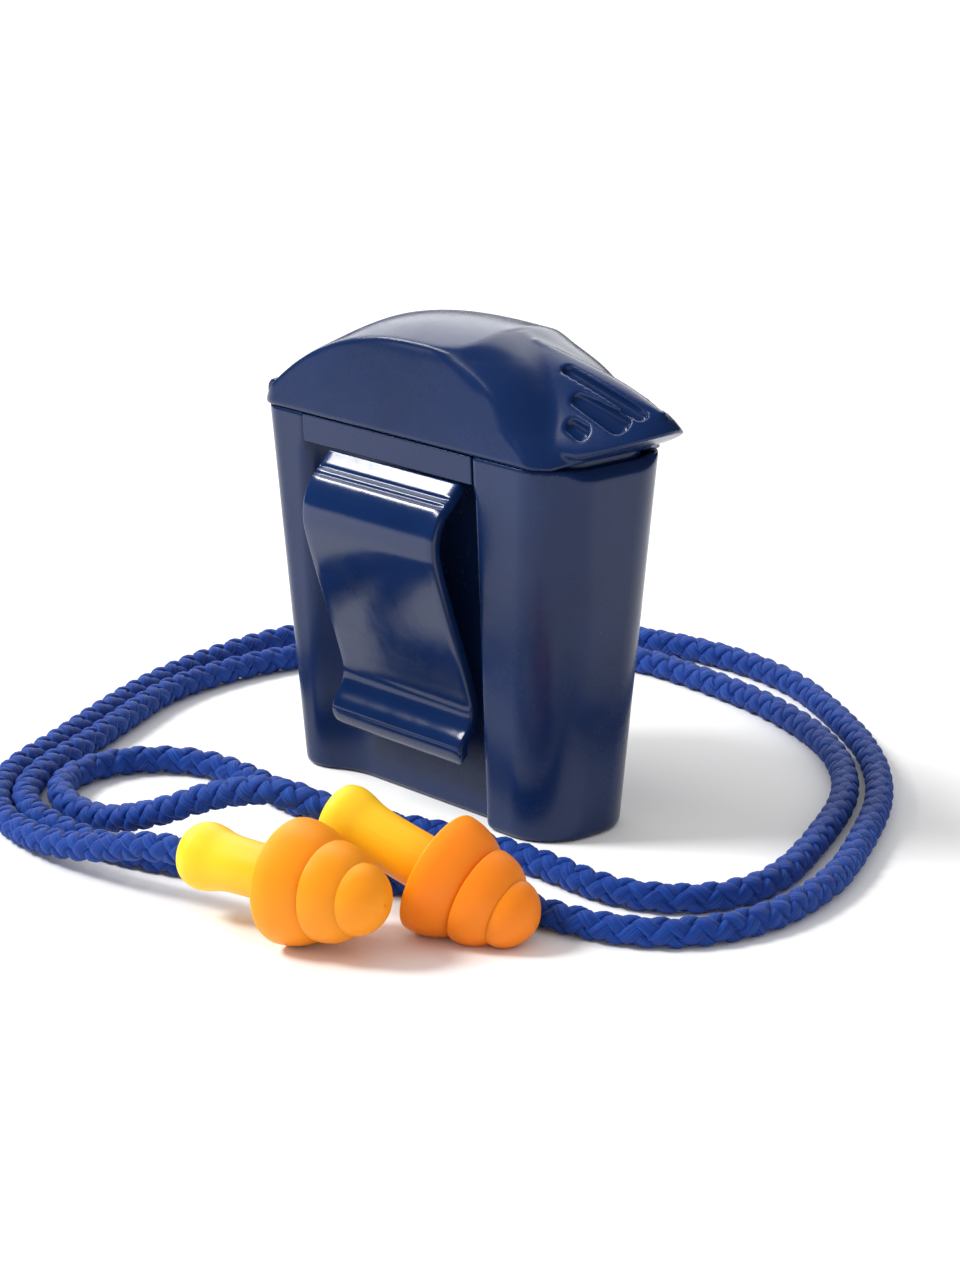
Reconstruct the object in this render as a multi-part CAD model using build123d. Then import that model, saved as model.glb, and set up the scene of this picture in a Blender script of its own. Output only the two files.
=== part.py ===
from build123d import *
import math
import os

# Corded reusable ear plugs with a belt-clip carrying case.
# Origin at the middle of the case's flat bottom, on the table. +Z up, +X towards
# the lid's thumb beak, -Y towards the belt clip. All sizes in millimetres.

# case tub
BASE_W = 40.0
BASE_D = 13.4
TOP_W = 46.1
TOP_D = 17.3
SEAM_Z = 39.8
CORNER_HINGE = 3.0
CORNER_BEAK = 5.6
WALL = 1.3
FLOOR_T = 1.5
FOOT_CHAMFER = 0.5

# channel in the front wall for the belt clip
CLIP_X = -1.6
CHANNEL_FLOOR_BASE = 4.6
CHANNEL_FLOOR_TOP = 5.3
CHANNEL_HALF = 11.6
CHANNEL_LEFT_FLARE = 3.4
CHANNEL_RIGHT_FLARE = 1.0
CHANNEL_BACKING = 1.2

# belt clip
CLIP_HALF = 10.3
CLIP_PIVOT_Y = -7.9
CLIP_PIVOT_Z = 35.9
CLIP_ROOT_R = 0.75
CLIP_T = 1.2
PLATE_BOTTOM_Z = 36.75
PLATE_HALF = 12.0

# lid
LID_GAP = 0.15
LID_OVERHANG = 0.3
LID_T = 1.4
LID_LEAN = 1.7
BEAK_TIP_X = 29.8
BEAK_TIP_Z = 43.9
LID_CROWN_Z = 52.5
SKIRT_T = 0.9
SKIRT_H = 1.8
SKIRT_CLEARANCE = 0.2

# hinge at the end away from the beak
HINGE_X = -24.85
HINGE_Z = 40.1
HINGE_R = 1.35
HINGE_HALF = 5.0
HINGE_MIDDLE_HALF = 1.9
HINGE_SIDE_GAP = 0.2
PIN_R = 0.6
PIN_RUNNING = 0.05

# ear plugs
STEM_R = 2.7
BULB_R = 3.35
RIMS = [(12.5, 6.1), (17.1, 4.85), (20.5, 3.45)]
PLUG_LENGTH = 23.8
CORD_BORE_R = 1.5
CORD_BORE_DEPTH = 6.0

# cord
CORD_D = 2.8


def rounded_plan(width, depth, hinge_corner, beak_corner, z):
    """Plan outline with tighter corners at the hinge end than at the beak end."""
    face = Plane.XY * Rectangle(width, depth)
    hinge_side = face.vertices().filter_by_position(Axis.X, -width, 0)
    face = fillet(hinge_side, hinge_corner)
    beak_side = [v for v in face.vertices() if v.X > width / 2 - 0.01]
    face = fillet(beak_side, beak_corner)
    return Pos(0, 0, z) * face


def half_depth(z):
    """Half depth of the tub's outside at height z."""
    return (BASE_D + (TOP_D - BASE_D) * z / SEAM_Z) / 2


def channel_plan(z, extra):
    """Section of the clip channel at height z, or of its backing wall with extra > 0."""
    share = z / SEAM_Z
    floor_y = -(CHANNEL_FLOOR_BASE + (CHANNEL_FLOOR_TOP - CHANNEL_FLOOR_BASE) * share) + extra
    front_y = -half_depth(z) - 1.0
    left = CLIP_X - CHANNEL_HALF - extra
    right = CLIP_X + CHANNEL_HALF + extra
    corners = [
        (left - CHANNEL_LEFT_FLARE, front_y),
        (left, floor_y),
        (right, floor_y),
        (right + CHANNEL_RIGHT_FLARE, front_y),
    ]
    return Pos(0, 0, z) * make_face(Polyline(*corners, close=True))


def lean_loft(section, low, high):
    return loft([section(low), section(high)])


# --- tub -----------------------------------------------------------------------
def build_tub():
    outside = loft([
        rounded_plan(BASE_W, BASE_D, CORNER_HINGE, CORNER_BEAK, 0),
        rounded_plan(TOP_W, TOP_D, CORNER_HINGE, CORNER_BEAK, SEAM_Z),
    ])
    outside = chamfer(outside.faces().sort_by(Axis.Z)[0].edges(), FOOT_CHAMFER)
    cavity = loft([
        rounded_plan(BASE_W - 2 * WALL, BASE_D - 2 * WALL, CORNER_HINGE - 1, CORNER_BEAK - 1.2, FLOOR_T),
        rounded_plan(TOP_W - 2 * WALL, TOP_D - 2 * WALL, CORNER_HINGE - 1, CORNER_BEAK - 1.2, SEAM_Z + 0.1),
    ])
    backing = lean_loft(lambda z: channel_plan(z, CHANNEL_BACKING), 0, SEAM_Z + 0.2)
    channel = lean_loft(lambda z: channel_plan(z, 0), -0.2, SEAM_Z + 0.2)
    tub = outside - channel - (cavity - backing)
    scoop = Plane.XZ * make_face(Polyline(
        (TOP_W / 2 - 0.85, SEAM_Z + 0.1),
        (TOP_W / 2 - 0.15, SEAM_Z - 2.2),
        (TOP_W / 2 + 2, SEAM_Z - 2.2),
        (TOP_W / 2 + 2, SEAM_Z + 0.1),
        close=True,
    ))
    tub -= extrude(scoop, amount=12, both=True)
    for side in (-1, 1):
        inner = HINGE_MIDDLE_HALF + HINGE_SIDE_GAP
        tub += hinge_knuckle(side * inner, side * HINGE_HALF, SEAM_Z - 4.5, SEAM_Z, TOP_W / 2 - 0.4)
    tub -= Pos(HINGE_X, 0, HINGE_Z) * Rot(90, 0, 0) * Cylinder(PIN_R, 2 * HINGE_HALF + 1)
    return tub


def hinge_knuckle(y0, y1, low_z, high_z, reach_x):
    """Round knuckle about the hinge axis with a gusset onto the wall beside it."""
    middle = (y0 + y1) / 2
    length = abs(y1 - y0)
    barrel = Pos(HINGE_X, middle, HINGE_Z) * Rot(90, 0, 0) * Cylinder(HINGE_R, length)
    web = Plane.XZ * make_face(Polyline(
        (-reach_x, low_z),
        (HINGE_X - HINGE_R * 0.8, HINGE_Z - HINGE_R * 0.6),
        (HINGE_X, high_z),
        (-reach_x, high_z),
        close=True,
    ))
    return barrel + Pos(0, middle, 0) * extrude(web, amount=length / 2, both=True)


# --- lid -----------------------------------------------------------------------
LID_BOTTOM = SEAM_Z + LID_GAP
ARCH = [
    (-23.4, LID_BOTTOM), (-21.6, 42.6), (-17.6, 45.4), (-12.6, 47.7), (-6.6, 49.2),
    (-0.6, 49.9), (5.4, 50.1), (11.0, 49.9), (16.5, 49.4), (21.0, 48.7), (25.0, 47.2), (28.0, 45.4),
]
# Half of the beak's plan, from its root to its tip, and the height of its upper edge.
BEAK_PLAN = [(18.0, 7.4), (24.0, 6.2), (28.4, 3.4), (BEAK_TIP_X, 0)]
BEAK_TOP = [(18.0, 42.6), (23.0, 44.0), (26.5, 44.6), (BEAK_TIP_X + 0.2, BEAK_TIP_Z)]
# One side of the nose slopes from the crown (A) and the ridge (B) down to the rim (C).
NOSE_A = (8.0, -7.6, 50.2)
NOSE_B = (25.0, -2.0, 47.4)
NOSE_C = (22.8, -6.6, 40.6)


def arch_face(inset):
    """Side profile of the lid, moved inwards by inset."""
    drop = [(x * (1 - inset / 24), z - inset) for x, z in ARCH[1:]]
    start = (ARCH[0][0] + inset, LID_BOTTOM)
    top = Spline(start, *drop)
    end = top @ 1
    rim = (TOP_W / 2 + LID_OVERHANG, LID_BOTTOM)
    nose = [(BEAK_TIP_X, BEAK_TIP_Z), (BEAK_TIP_X - 0.4, BEAK_TIP_Z - 1.2), (23.2, 41.0), rim]
    if inset:
        nose = [(end.X, LID_BOTTOM - 3), (start[0], LID_BOTTOM - 3)]
    tail = Polyline((end.X, end.Y), *nose, start)
    return Plane.XZ * make_face(top + tail)


# Finger grips on the -Y side as (start, end, width): a long slot in two runs, an oval and a dimple.
GRIPS = [
    ((16.8, -1.35, 49.45), (21.6, -1.35, 48.5), 1.0),
    ((21.2, -1.35, 48.6), (26.6, -1.35, 46.3), 1.0),
    ((20.2, -3.3, 46.6), (26.4, -2.6, 45.2), 1.9),
    ((20.4, -4.9, 44.7), (22.6, -4.5, 44.0), 1.5),
]


def cut_nose(solid, inset):
    """Slopes both sides of the lid's nose, on planes moved inwards by inset."""
    for side in (1, -1):
        a, b, c = (Vector(x, side * y, z) for x, y, z in (NOSE_A, NOSE_B, NOSE_C))
        normal = (b - a).cross(c - a).normalized()
        if normal.Z < 0:
            normal = -normal
        solid = split(solid, bisect_by=Plane(a - normal * inset, z_dir=normal), keep=Keep.BOTTOM)
    return solid


def build_lid():
    wide = LID_OVERHANG * 2
    depth = TOP_D + wide
    foot = rounded_plan(TOP_W + wide, depth, CORNER_HINGE, CORNER_BEAK, LID_BOTTOM)
    crown = rounded_plan(TOP_W - 1, depth - 2 * LID_LEAN, CORNER_HINGE, CORNER_BEAK - 1.2, LID_CROWN_Z)
    shell = cut_nose(loft([foot, crown]), 0)
    near_side = [(x, -y) for x, y in BEAK_PLAN[:-1]]
    far_side = list(reversed(BEAK_PLAN[:-1]))
    beak_outline = Spline(*near_side, BEAK_PLAN[-1], *far_side) + Line(far_side[-1], near_side[0])
    beak_column = extrude(Pos(0, 0, LID_BOTTOM - 1) * make_face(beak_outline), amount=12)
    beak_low = [(BEAK_TOP[-1][0], 40.5), (BEAK_TOP[0][0], 40.5)]
    beak_side = Plane.XZ * make_face(Polyline(*BEAK_TOP, *beak_low, close=True))
    beak = beak_column & extrude(beak_side, amount=10, both=True)
    shell += beak + cut_nose(beak_column, 0)
    shell &= extrude(arch_face(0), amount=14, both=True)
    inner_depth = depth - 2 * LID_T
    inner_corners = (CORNER_HINGE - 1, CORNER_BEAK - 1.2)
    inner_foot = rounded_plan(TOP_W + wide - 2 * LID_T, inner_depth, *inner_corners, LID_BOTTOM - 1)
    inner_corners = (CORNER_HINGE - 1, CORNER_BEAK - 2.6)
    inner_crown = rounded_plan(TOP_W - 1 - 2 * LID_T, inner_depth - 2 * LID_LEAN, *inner_corners, LID_CROWN_Z)
    inside = cut_nose(loft([inner_foot, inner_crown]), LID_T + 0.2)
    inside &= extrude(arch_face(LID_T), amount=14, both=True)
    lid = shell - inside

    # skirt that drops inside the tub, left open where the clip channel comes through
    rim_w = TOP_W - 2 * WALL - 2 * SKIRT_CLEARANCE
    rim_d = TOP_D - 2 * WALL - 2 * SKIRT_CLEARANCE
    low = LID_BOTTOM - SKIRT_H
    outer_rim = rounded_plan(rim_w - 0.2, rim_d - 0.2, CORNER_HINGE - 1.1, CORNER_BEAK - 1.4, low)
    inner_w = rim_w - 2 * SKIRT_T
    inner_d = rim_d - 2 * SKIRT_T
    inner_rim = rounded_plan(inner_w, inner_d, CORNER_HINGE - 1.8, CORNER_BEAK - 2.2, low - 1)
    skirt = extrude(outer_rim, amount=SKIRT_H + 0.9) - extrude(inner_rim, amount=SKIRT_H + 3)
    opening_w = 2 * (CHANNEL_HALF + CHANNEL_BACKING) + CHANNEL_LEFT_FLARE + CHANNEL_RIGHT_FLARE + 2.0
    opening_x = CLIP_X - (CHANNEL_LEFT_FLARE - CHANNEL_RIGHT_FLARE) / 2
    skirt -= Pos(opening_x, -9, low) * Box(opening_w, 12, 2 * (LID_BOTTOM - low - 0.02))
    lid += skirt

    # finger grips: recesses each side of the ridge
    for start, end, width in GRIPS:
        for side in (1, -1):
            a, b = (Vector(x, side * y, z) for x, y, z in (start, end))
            along = b - a
            seat = Plane(origin=(a + b) / 2, x_dir=along, z_dir=along.cross(Vector(0, 1, 0)))
            lid -= seat * capsule(along.length, width)

    lid += hinge_middle()
    lid -= Pos(HINGE_X, 0, HINGE_Z) * Rot(90, 0, 0) * Cylinder(PIN_R + PIN_RUNNING, 12)
    return lid


def capsule(length, width):
    ends = width / 2
    body = Rot(0, 90, 0) * Cylinder(ends, length - width)
    body += Pos((length - width) / 2, 0, 0) * Sphere(ends)
    body += Pos(-(length - width) / 2, 0, 0) * Sphere(ends)
    return body


def hinge_middle():
    """The lid's own knuckle, joined to the lid above the seam."""
    barrel = Pos(HINGE_X, 0, HINGE_Z) * Rot(90, 0, 0) * Cylinder(HINGE_R, 2 * HINGE_MIDDLE_HALF)
    web = Plane.XZ * make_face(Polyline(
        (HINGE_X, LID_BOTTOM), (-TOP_W / 2 + 0.3, LID_BOTTOM), (-TOP_W / 2 + 0.9, LID_BOTTOM + 1.8),
        (HINGE_X + 0.3, HINGE_Z + HINGE_R * 0.95), close=True,
    ))
    return barrel + extrude(web, amount=HINGE_MIDDLE_HALF, both=True)


def build_pin():
    return Pos(HINGE_X, 0, HINGE_Z) * Rot(90, 0, 0) * Cylinder(PIN_R, 2 * HINGE_HALF)


# --- belt clip -----------------------------------------------------------------
CLIP_OUTSIDE = [
    (-8.5, 36.4), (-9.6, 35.1), (-11.0, 33.7), (-11.9, 31.7), (-12.05, 29.6),
    (-11.5, 27.2), (-10.1, 22.8), (-8.6, 18.4), (-7.3, 14.4), (-6.8, 12.2),
    (-7.2, 10.5), (-8.1, 9.2), (-8.4, 8.2), (-8.0, 6.9), (-7.0, 6.0),
]


def build_clip_plate():
    """Mounting plate of the clip moulding, filling the top of the channel flush with the wall."""
    def plate_plan(z):
        share = z / SEAM_Z
        floor_y = -(CHANNEL_FLOOR_BASE + (CHANNEL_FLOOR_TOP - CHANNEL_FLOOR_BASE) * share)
        front_y = -half_depth(z)
        corners = [
            (CLIP_X - CHANNEL_HALF + 0.05, floor_y),
            (CLIP_X + CHANNEL_HALF - 0.05, floor_y),
            (CLIP_X + PLATE_HALF - 0.1, front_y),
            (CLIP_X - PLATE_HALF - 1.5, front_y),
        ]
        return Pos(0, 0, z) * make_face(Polyline(*corners, close=True))
    return loft([plate_plan(PLATE_BOTTOM_Z), plate_plan(SEAM_Z - 0.05)])


def build_clip_arm():
    """Sprung arm: shoulder at the top, waist close to the wall, flared lip at the bottom."""
    outer = Spline(*CLIP_OUTSIDE)
    inner_points = []
    steps = len(CLIP_OUTSIDE) - 1
    for step in range(steps + 1):
        at = outer @ (step / steps)
        along = outer % (step / steps)
        inner_points.append((at.X - along.Y * CLIP_T, at.Y + along.X * CLIP_T))
    inner = Spline(*reversed(inner_points))
    foot = Line(outer @ 1, inner @ 0)
    head = Line(inner @ 1, outer @ 0)
    # The YZ plane's local x is +Y and local y is +Z.
    blade = Plane.YZ * make_face(outer + foot + inner + head)
    arm = Pos(CLIP_X, 0, 0) * extrude(blade, amount=CLIP_HALF, both=True)
    arm += Pos(CLIP_X, CLIP_PIVOT_Y, CLIP_PIVOT_Z) * Rot(0, 90, 0) * Cylinder(CLIP_ROOT_R, 2 * CLIP_HALF)
    outline = Plane.XZ * Pos(CLIP_X, 21.4) * Rectangle(2 * CLIP_HALF, 31.0)
    outline = fillet(outline.vertices().sort_by(Axis.Z)[:2], 2.4)
    arm &= extrude(outline, amount=16, both=True)
    return arm


# --- ear plugs -----------------------------------------------------------------
def plug_shape():
    """Three-flange plug along +X: stem end at 0, tip at PLUG_LENGTH."""
    (s3, r3), (s2, r2), (s1, r1) = RIMS
    lines = Polyline((CORD_BORE_DEPTH, 0), (CORD_BORE_DEPTH, CORD_BORE_R), (0, CORD_BORE_R), (0, 2.5))
    lines += Spline((0, 2.5), (0.5, 3.1), (1.6, BULB_R), (3.4, 3.05), (5.4, STEM_R), (7.0, STEM_R))
    under = [(s3 + 1.1, STEM_R), (s3 + 0.9, 3.6), (s3 + 0.1, r3 - 0.5), (s3, r3 - 0.1), (s3 + 0.15, r3)]
    lines += Polyline((7.0, STEM_R), *under)
    lines += Spline((s3 + 0.15, r3), (s3 + 1.4, r3 - 0.35), (s3 + 3.0, r3 - 1.5), (s2 + 0.4, 3.35))
    lines += Polyline((s2 + 0.4, 3.35), (s2 + 0.05, r2 - 0.5), (s2, r2 - 0.1), (s2 + 0.15, r2))
    lines += Spline((s2 + 0.15, r2), (s2 + 1.2, r2 - 0.4), (s2 + 2.4, r2 - 1.3), (s1 + 0.3, 2.5))
    lines += Polyline((s1 + 0.3, 2.5), (s1 + 0.05, r1 - 0.4), (s1, r1 - 0.1), (s1 + 0.15, r1))
    tip = [(s1 + 0.15, r1), (s1 + 1.3, r1 - 0.45), (s1 + 2.5, r1 - 1.5), (PLUG_LENGTH, 0)]
    lines += Spline(*tip, tangents=((1, 0), (0, -1)))
    lines += Line((PLUG_LENGTH, 0), (CORD_BORE_DEPTH, 0))
    return revolve(make_face(lines), Axis.X)


def place_plug(position, heading, dip):
    return Pos(*position) * Rot(0, 0, heading) * Rot(0, dip, 0) * plug_shape()


LEFT_STEM = (9.8, -43.6, 6.15)
LEFT_HEADING = 9.8
LEFT_DIP = 0.0
RIGHT_STEM = (17.7, -32.7, 9.95)
RIGHT_HEADING = 16.6
RIGHT_DIP = 18.8


def along_plug(position, heading, dip, distance):
    """Point on a plug's axis, distance in from the stem end (negative is outside it)."""
    h = math.radians(heading)
    d = math.radians(dip)
    return (
        position[0] + distance * math.cos(h) * math.cos(d),
        position[1] + distance * math.sin(h) * math.cos(d),
        position[2] - distance * math.sin(d),
    )


# --- cord ----------------------------------------------------------------------
LEFT_IN_BORE = along_plug(LEFT_STEM, LEFT_HEADING, LEFT_DIP, CORD_BORE_DEPTH)
LEFT_OUTSIDE = along_plug(LEFT_STEM, LEFT_HEADING, LEFT_DIP, -4.0)
RIGHT_IN_BORE = along_plug(RIGHT_STEM, RIGHT_HEADING, RIGHT_DIP, CORD_BORE_DEPTH)
RIGHT_OUTSIDE = along_plug(RIGHT_STEM, RIGHT_HEADING, RIGHT_DIP, -4.5)
LOW = CORD_D / 2 + 0.05
CORD_POINTS = [
    LEFT_IN_BORE,
    LEFT_OUTSIDE,
    (-3.8, -45.8, 3.3),
    (-14.8, -45.6, LOW),
    (-26.4, -43.4, LOW),
    (-35.0, -35.8, LOW),
    (-39.8, -26.0, LOW),
    (-45.0, -16.0, LOW),
    (-49.8, -5.4, LOW),
    (-52.6, 6.4, LOW),
    (-54.0, 18.0, LOW),
    (-51.4, 29.8, LOW),
    (-43.5, 40.5, LOW),
    (-30.5, 48.6, LOW),
    (-15.5, 53.0, LOW),
    (-1.0, 51.6, LOW),
    (12.0, 45.2, LOW),
    (24.0, 37.8, LOW),
    (34.0, 28.2, LOW),
    (41.5, 17.0, LOW),
    (48.5, 4.8, LOW),
    (51.0, -7.4, LOW),
    (47.6, -16.8, LOW),
    (39.0, -21.2, LOW),
    (27.0, -21.6, LOW),
    (17.0, -26.6, LOW),
    (7.5, -34.6, LOW),
    (-3.3, -40.6, LOW),
    (-14.4, -42.0, LOW),
    (-24.8, -40.0, LOW),
    (-32.2, -33.2, LOW),
    (-36.2, -24.4, LOW),
    (-41.6, -14.8, LOW),
    (-46.0, -5.0, LOW),
    (-47.8, 5.4, LOW),
    (-46.8, 16.0, LOW),
    (-41.6, 27.4, LOW),
    (-32.5, 38.0, LOW),
    (-20.5, 44.6, LOW),
    (-7.5, 44.2, LOW),
    (6.0, 42.1, LOW),
    (19.5, 36.5, LOW),
    (30.5, 27.1, LOW),
    (38.0, 14.6, LOW),
    (44.6, 1.0, LOW),
    (43.2, -7.8, LOW),
    (36.0, -12.8, LOW),
    (25.0, -12.0, LOW),
    (13.0, -13.4, LOW),
    (3.6, -17.2, LOW),
    (-5.4, -18.6, LOW),
    (-14.6, -17.0, LOW),
    (-23.5, -17.4, LOW),
    (-29.0, -22.9, LOW),
    (-29.0, -30.7, LOW),
    (-23.5, -36.2, LOW),
    (-14.8, -37.2, LOW),
    (-6.0, -37.0, 4.2),
    (3.8, -35.6, 8.9),
    RIGHT_OUTSIDE,
    RIGHT_IN_BORE,
]


def bend_radii(points):
    """Radius of each bend: its arc takes 45 % of the shorter run beside it."""
    radii = []
    for before, here, after in zip(points, points[1:], points[2:]):
        a = Vector(*here) - Vector(*before)
        b = Vector(*after) - Vector(*here)
        turn = math.radians(a.get_angle(b))
        radii.append(0.45 * min(a.length, b.length) / math.tan(turn / 2))
    return radii


def build_cord():
    radii = bend_radii(CORD_POINTS)
    print("tightest bends", [round(r, 1) for r in sorted(radii)[:6]])
    path = FilletPolyline(*CORD_POINTS, radius=radii)
    start = Plane(origin=path @ 0, z_dir=path % 0)
    tube = sweep(start * Circle(CORD_D / 2), path=path)
    expected = path.length * math.pi * CORD_D ** 2 / 4
    print("cord length", round(path.length, 1), "volume share", round(tube.volume / expected, 4))
    return tube


def main():
    os.makedirs("parts", exist_ok=True)
    parts = {
        "case_tub": build_tub(),
        "case_lid": build_lid(),
        "hinge_pin": build_pin(),
        "clip_plate": build_clip_plate(),
        "clip_arm": build_clip_arm(),
        "plug_left": place_plug(LEFT_STEM, LEFT_HEADING, LEFT_DIP),
        "plug_right": place_plug(RIGHT_STEM, RIGHT_HEADING, RIGHT_DIP),
        "cord": build_cord(),
    }
    for name, shape in parts.items():
        export_step(shape, f"parts/{name}.step")


main()
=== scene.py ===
import math

import bmesh
import bpy
import numpy as np
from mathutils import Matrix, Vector


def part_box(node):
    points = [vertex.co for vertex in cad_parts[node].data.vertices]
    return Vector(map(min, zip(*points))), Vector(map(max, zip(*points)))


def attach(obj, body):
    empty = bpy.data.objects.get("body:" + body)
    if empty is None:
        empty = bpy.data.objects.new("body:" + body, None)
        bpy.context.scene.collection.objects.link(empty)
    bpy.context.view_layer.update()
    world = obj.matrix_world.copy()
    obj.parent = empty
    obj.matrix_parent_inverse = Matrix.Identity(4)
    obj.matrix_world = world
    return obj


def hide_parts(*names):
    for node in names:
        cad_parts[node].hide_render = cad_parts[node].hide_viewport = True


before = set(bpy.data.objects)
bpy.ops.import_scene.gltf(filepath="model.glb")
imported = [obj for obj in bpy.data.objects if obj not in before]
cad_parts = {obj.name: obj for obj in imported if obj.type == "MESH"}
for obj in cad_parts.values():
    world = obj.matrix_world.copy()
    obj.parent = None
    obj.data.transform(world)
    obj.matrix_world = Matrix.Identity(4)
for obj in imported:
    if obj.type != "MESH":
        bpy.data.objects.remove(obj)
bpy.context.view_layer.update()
MM = 0.001

# Case and lid sizes in millimetres, as in the CAD model.
SEAM = 39.8
TUB_LONG, TUB_WIDE = 40, 13.4
LONG_TAPER, WIDE_TAPER = 6.1, 3.9
TUB_WALL = 1.3
TUB_FLOOR = 1.5
HINGE_CORNER = 3.0
BEAK_CORNER = 5.6
LID_FOOT = 39.88
LID_HALF_X, LID_HALF_Y = 23.35, 8.95
LID_WALL = 1.4
CLIP_X = -1.6
CHANNEL_HALF = 11.6
HINGE_X = -24.85
HINGE_Z = 40.1
HINGE_R = 1.35
PIN_R = 0.6

# Ear plugs: stem end, heading and dip of each, and the three rims as (distance, radius).
LEFT_PLUG = ((9.8, -43.6, 6.15), 9.8, 0.0)
RIGHT_PLUG = ((17.7, -32.7, 9.95), 16.6, 18.8)
RIMS = ((12.5, 6.1), (17.1, 4.85), (20.5, 3.45))
PLUG_LENGTH = 23.8
BORE_DEPTH = 6.0
BORE_R = 1.5

# Cord: its diameter, the height of its centre on the floor, and its braid.
CORD_LOW = 1.45
BRAID_PITCH = 8.4
BRAID_STRANDS = 3
BRAID_R = 0.8
BRAID_WEAVE = 0.28
STRAND_HALF_W = 0.78
STRAND_HALF_T = 0.45
STRAND_SIDES = 12


# --- camera ----------------------------------------------------------------------
def add_camera():
    data = bpy.data.cameras.new("camera")
    data.lens = 100.52
    data.clip_end = 10
    camera = bpy.data.objects.new("camera", data)
    camera.location = (0.26852, -0.23974, 0.12279)
    camera.rotation_euler = Vector((0.7126, -0.6421, 0.2828)).to_track_quat("Z", "Y").to_euler()
    bpy.context.collection.objects.link(camera)
    bpy.context.scene.camera = camera


add_camera()


# --- cord ------------------------------------------------------------------------
def plug_direction(plug):
    """Unit vector from a plug's stem end to its tip."""
    _, heading, dip = plug
    h, d = math.radians(heading), math.radians(dip)
    return (math.cos(h) * math.cos(d), math.sin(h) * math.cos(d), -math.sin(d))


def along_plug(plug, distance):
    """Point on a plug's axis, distance in from the stem end; negative is outside it."""
    return tuple(p + distance * v for p, v in zip(plug[0], plug_direction(plug)))


CORD_POINTS = [
    along_plug(LEFT_PLUG, BORE_DEPTH), along_plug(LEFT_PLUG, -4.0),
    (-3.8, -45.8, 3.3), (-14.8, -45.6, CORD_LOW), (-25.7, -42.9, CORD_LOW), (-34.0, -34.9, CORD_LOW),
    (-38.7, -24.9, CORD_LOW), (-44.2, -14.9, CORD_LOW), (-49.2, -4.6, CORD_LOW), (-52.6, 6.4, CORD_LOW),
    (-54.0, 18.0, CORD_LOW), (-51.4, 29.8, CORD_LOW), (-43.5, 40.5, CORD_LOW), (-30.5, 48.6, CORD_LOW),
    (-15.5, 53.0, CORD_LOW), (-1.0, 51.6, CORD_LOW), (12.0, 45.2, CORD_LOW), (24.0, 37.8, CORD_LOW),
    (34.0, 28.2, CORD_LOW), (41.5, 17.0, CORD_LOW), (48.5, 4.8, CORD_LOW), (51.0, -7.4, CORD_LOW),
    (47.6, -16.8, CORD_LOW), (39.0, -21.2, CORD_LOW), (27.0, -21.6, CORD_LOW), (17.0, -26.6, CORD_LOW),
    (7.5, -34.6, CORD_LOW), (-3.3, -40.6, CORD_LOW), (-14.4, -42.0, CORD_LOW), (-24.8, -40.0, CORD_LOW),
    (-31.8, -32.6, CORD_LOW), (-35.7, -23.8, CORD_LOW), (-41.0, -14.0, CORD_LOW), (-46.0, -5.0, CORD_LOW),
    (-47.8, 5.4, CORD_LOW), (-46.8, 16.0, CORD_LOW), (-41.6, 27.4, CORD_LOW), (-32.5, 38.0, CORD_LOW),
    (-20.5, 44.6, CORD_LOW), (-7.5, 44.2, CORD_LOW), (6.0, 42.1, CORD_LOW), (19.5, 36.5, CORD_LOW),
    (30.5, 27.1, CORD_LOW), (38.0, 14.6, CORD_LOW), (44.6, 1.0, CORD_LOW), (43.2, -7.8, CORD_LOW),
    (36.0, -12.8, CORD_LOW), (25.0, -12.0, CORD_LOW), (13.0, -13.4, CORD_LOW), (3.6, -17.2, CORD_LOW),
    (-5.4, -18.6, CORD_LOW), (-14.6, -17.0, CORD_LOW), (-23.5, -17.4, CORD_LOW), (-29.0, -22.9, CORD_LOW),
    (-29.0, -30.7, CORD_LOW), (-23.5, -36.2, CORD_LOW), (-14.8, -37.2, CORD_LOW), (-6.0, -37.0, 4.2),
    (3.8, -35.6, 8.9),
    along_plug(RIGHT_PLUG, -4.5), along_plug(RIGHT_PLUG, BORE_DEPTH),
]


def route_line():
    """Points of the cord's NURBS route, in metres."""
    curve = bpy.data.curves.new("cord_route", "CURVE")
    curve.dimensions = "3D"
    curve.resolution_u = 20
    spline = curve.splines.new("NURBS")
    spline.points.add(len(CORD_POINTS) - 1)
    for point, place in zip(spline.points, CORD_POINTS):
        point.co = (place[0] * MM, place[1] * MM, place[2] * MM, 1)
    spline.order_u = 3
    spline.use_endpoint_u = True
    route = bpy.data.objects.new("cord_route", curve)
    bpy.context.collection.objects.link(route)
    line = bpy.data.meshes.new_from_object(route)
    points = np.array([v.co[:] for v in line.vertices])
    bpy.data.objects.remove(route)
    bpy.data.meshes.remove(line)
    return points


def even_points(points, step):
    """The line's points evenly spaced, and the distance along it at each."""
    runs = np.linalg.norm(np.diff(points, axis=0), axis=1)
    along = np.concatenate([[0], np.cumsum(runs)])
    count = int(round(along[-1] / step))
    at = np.linspace(0, along[-1], count + 1)
    return np.stack([np.interp(at, along, points[:, k]) for k in range(3)], 1), at


def smooth_line(points, passes):
    points = points.copy()
    for _ in range(passes):
        points[1:-1] = points[1:-1] * 0.5 + (points[:-2] + points[2:]) * 0.25
    return points


def carried_frames(points):
    """Side and up at each point, turned as little as possible along the line."""
    tangent = np.gradient(points, axis=0)
    tangent /= np.linalg.norm(tangent, axis=1)[:, None]
    side = np.zeros_like(points)
    first = np.cross(tangent[0], (0, 0, 1))
    side[0] = first / np.linalg.norm(first)
    for i in range(1, len(points)):
        carried = side[i - 1] - tangent[i] * np.dot(side[i - 1], tangent[i])
        side[i] = carried / np.linalg.norm(carried)
    return side, np.cross(tangent, side)


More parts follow.
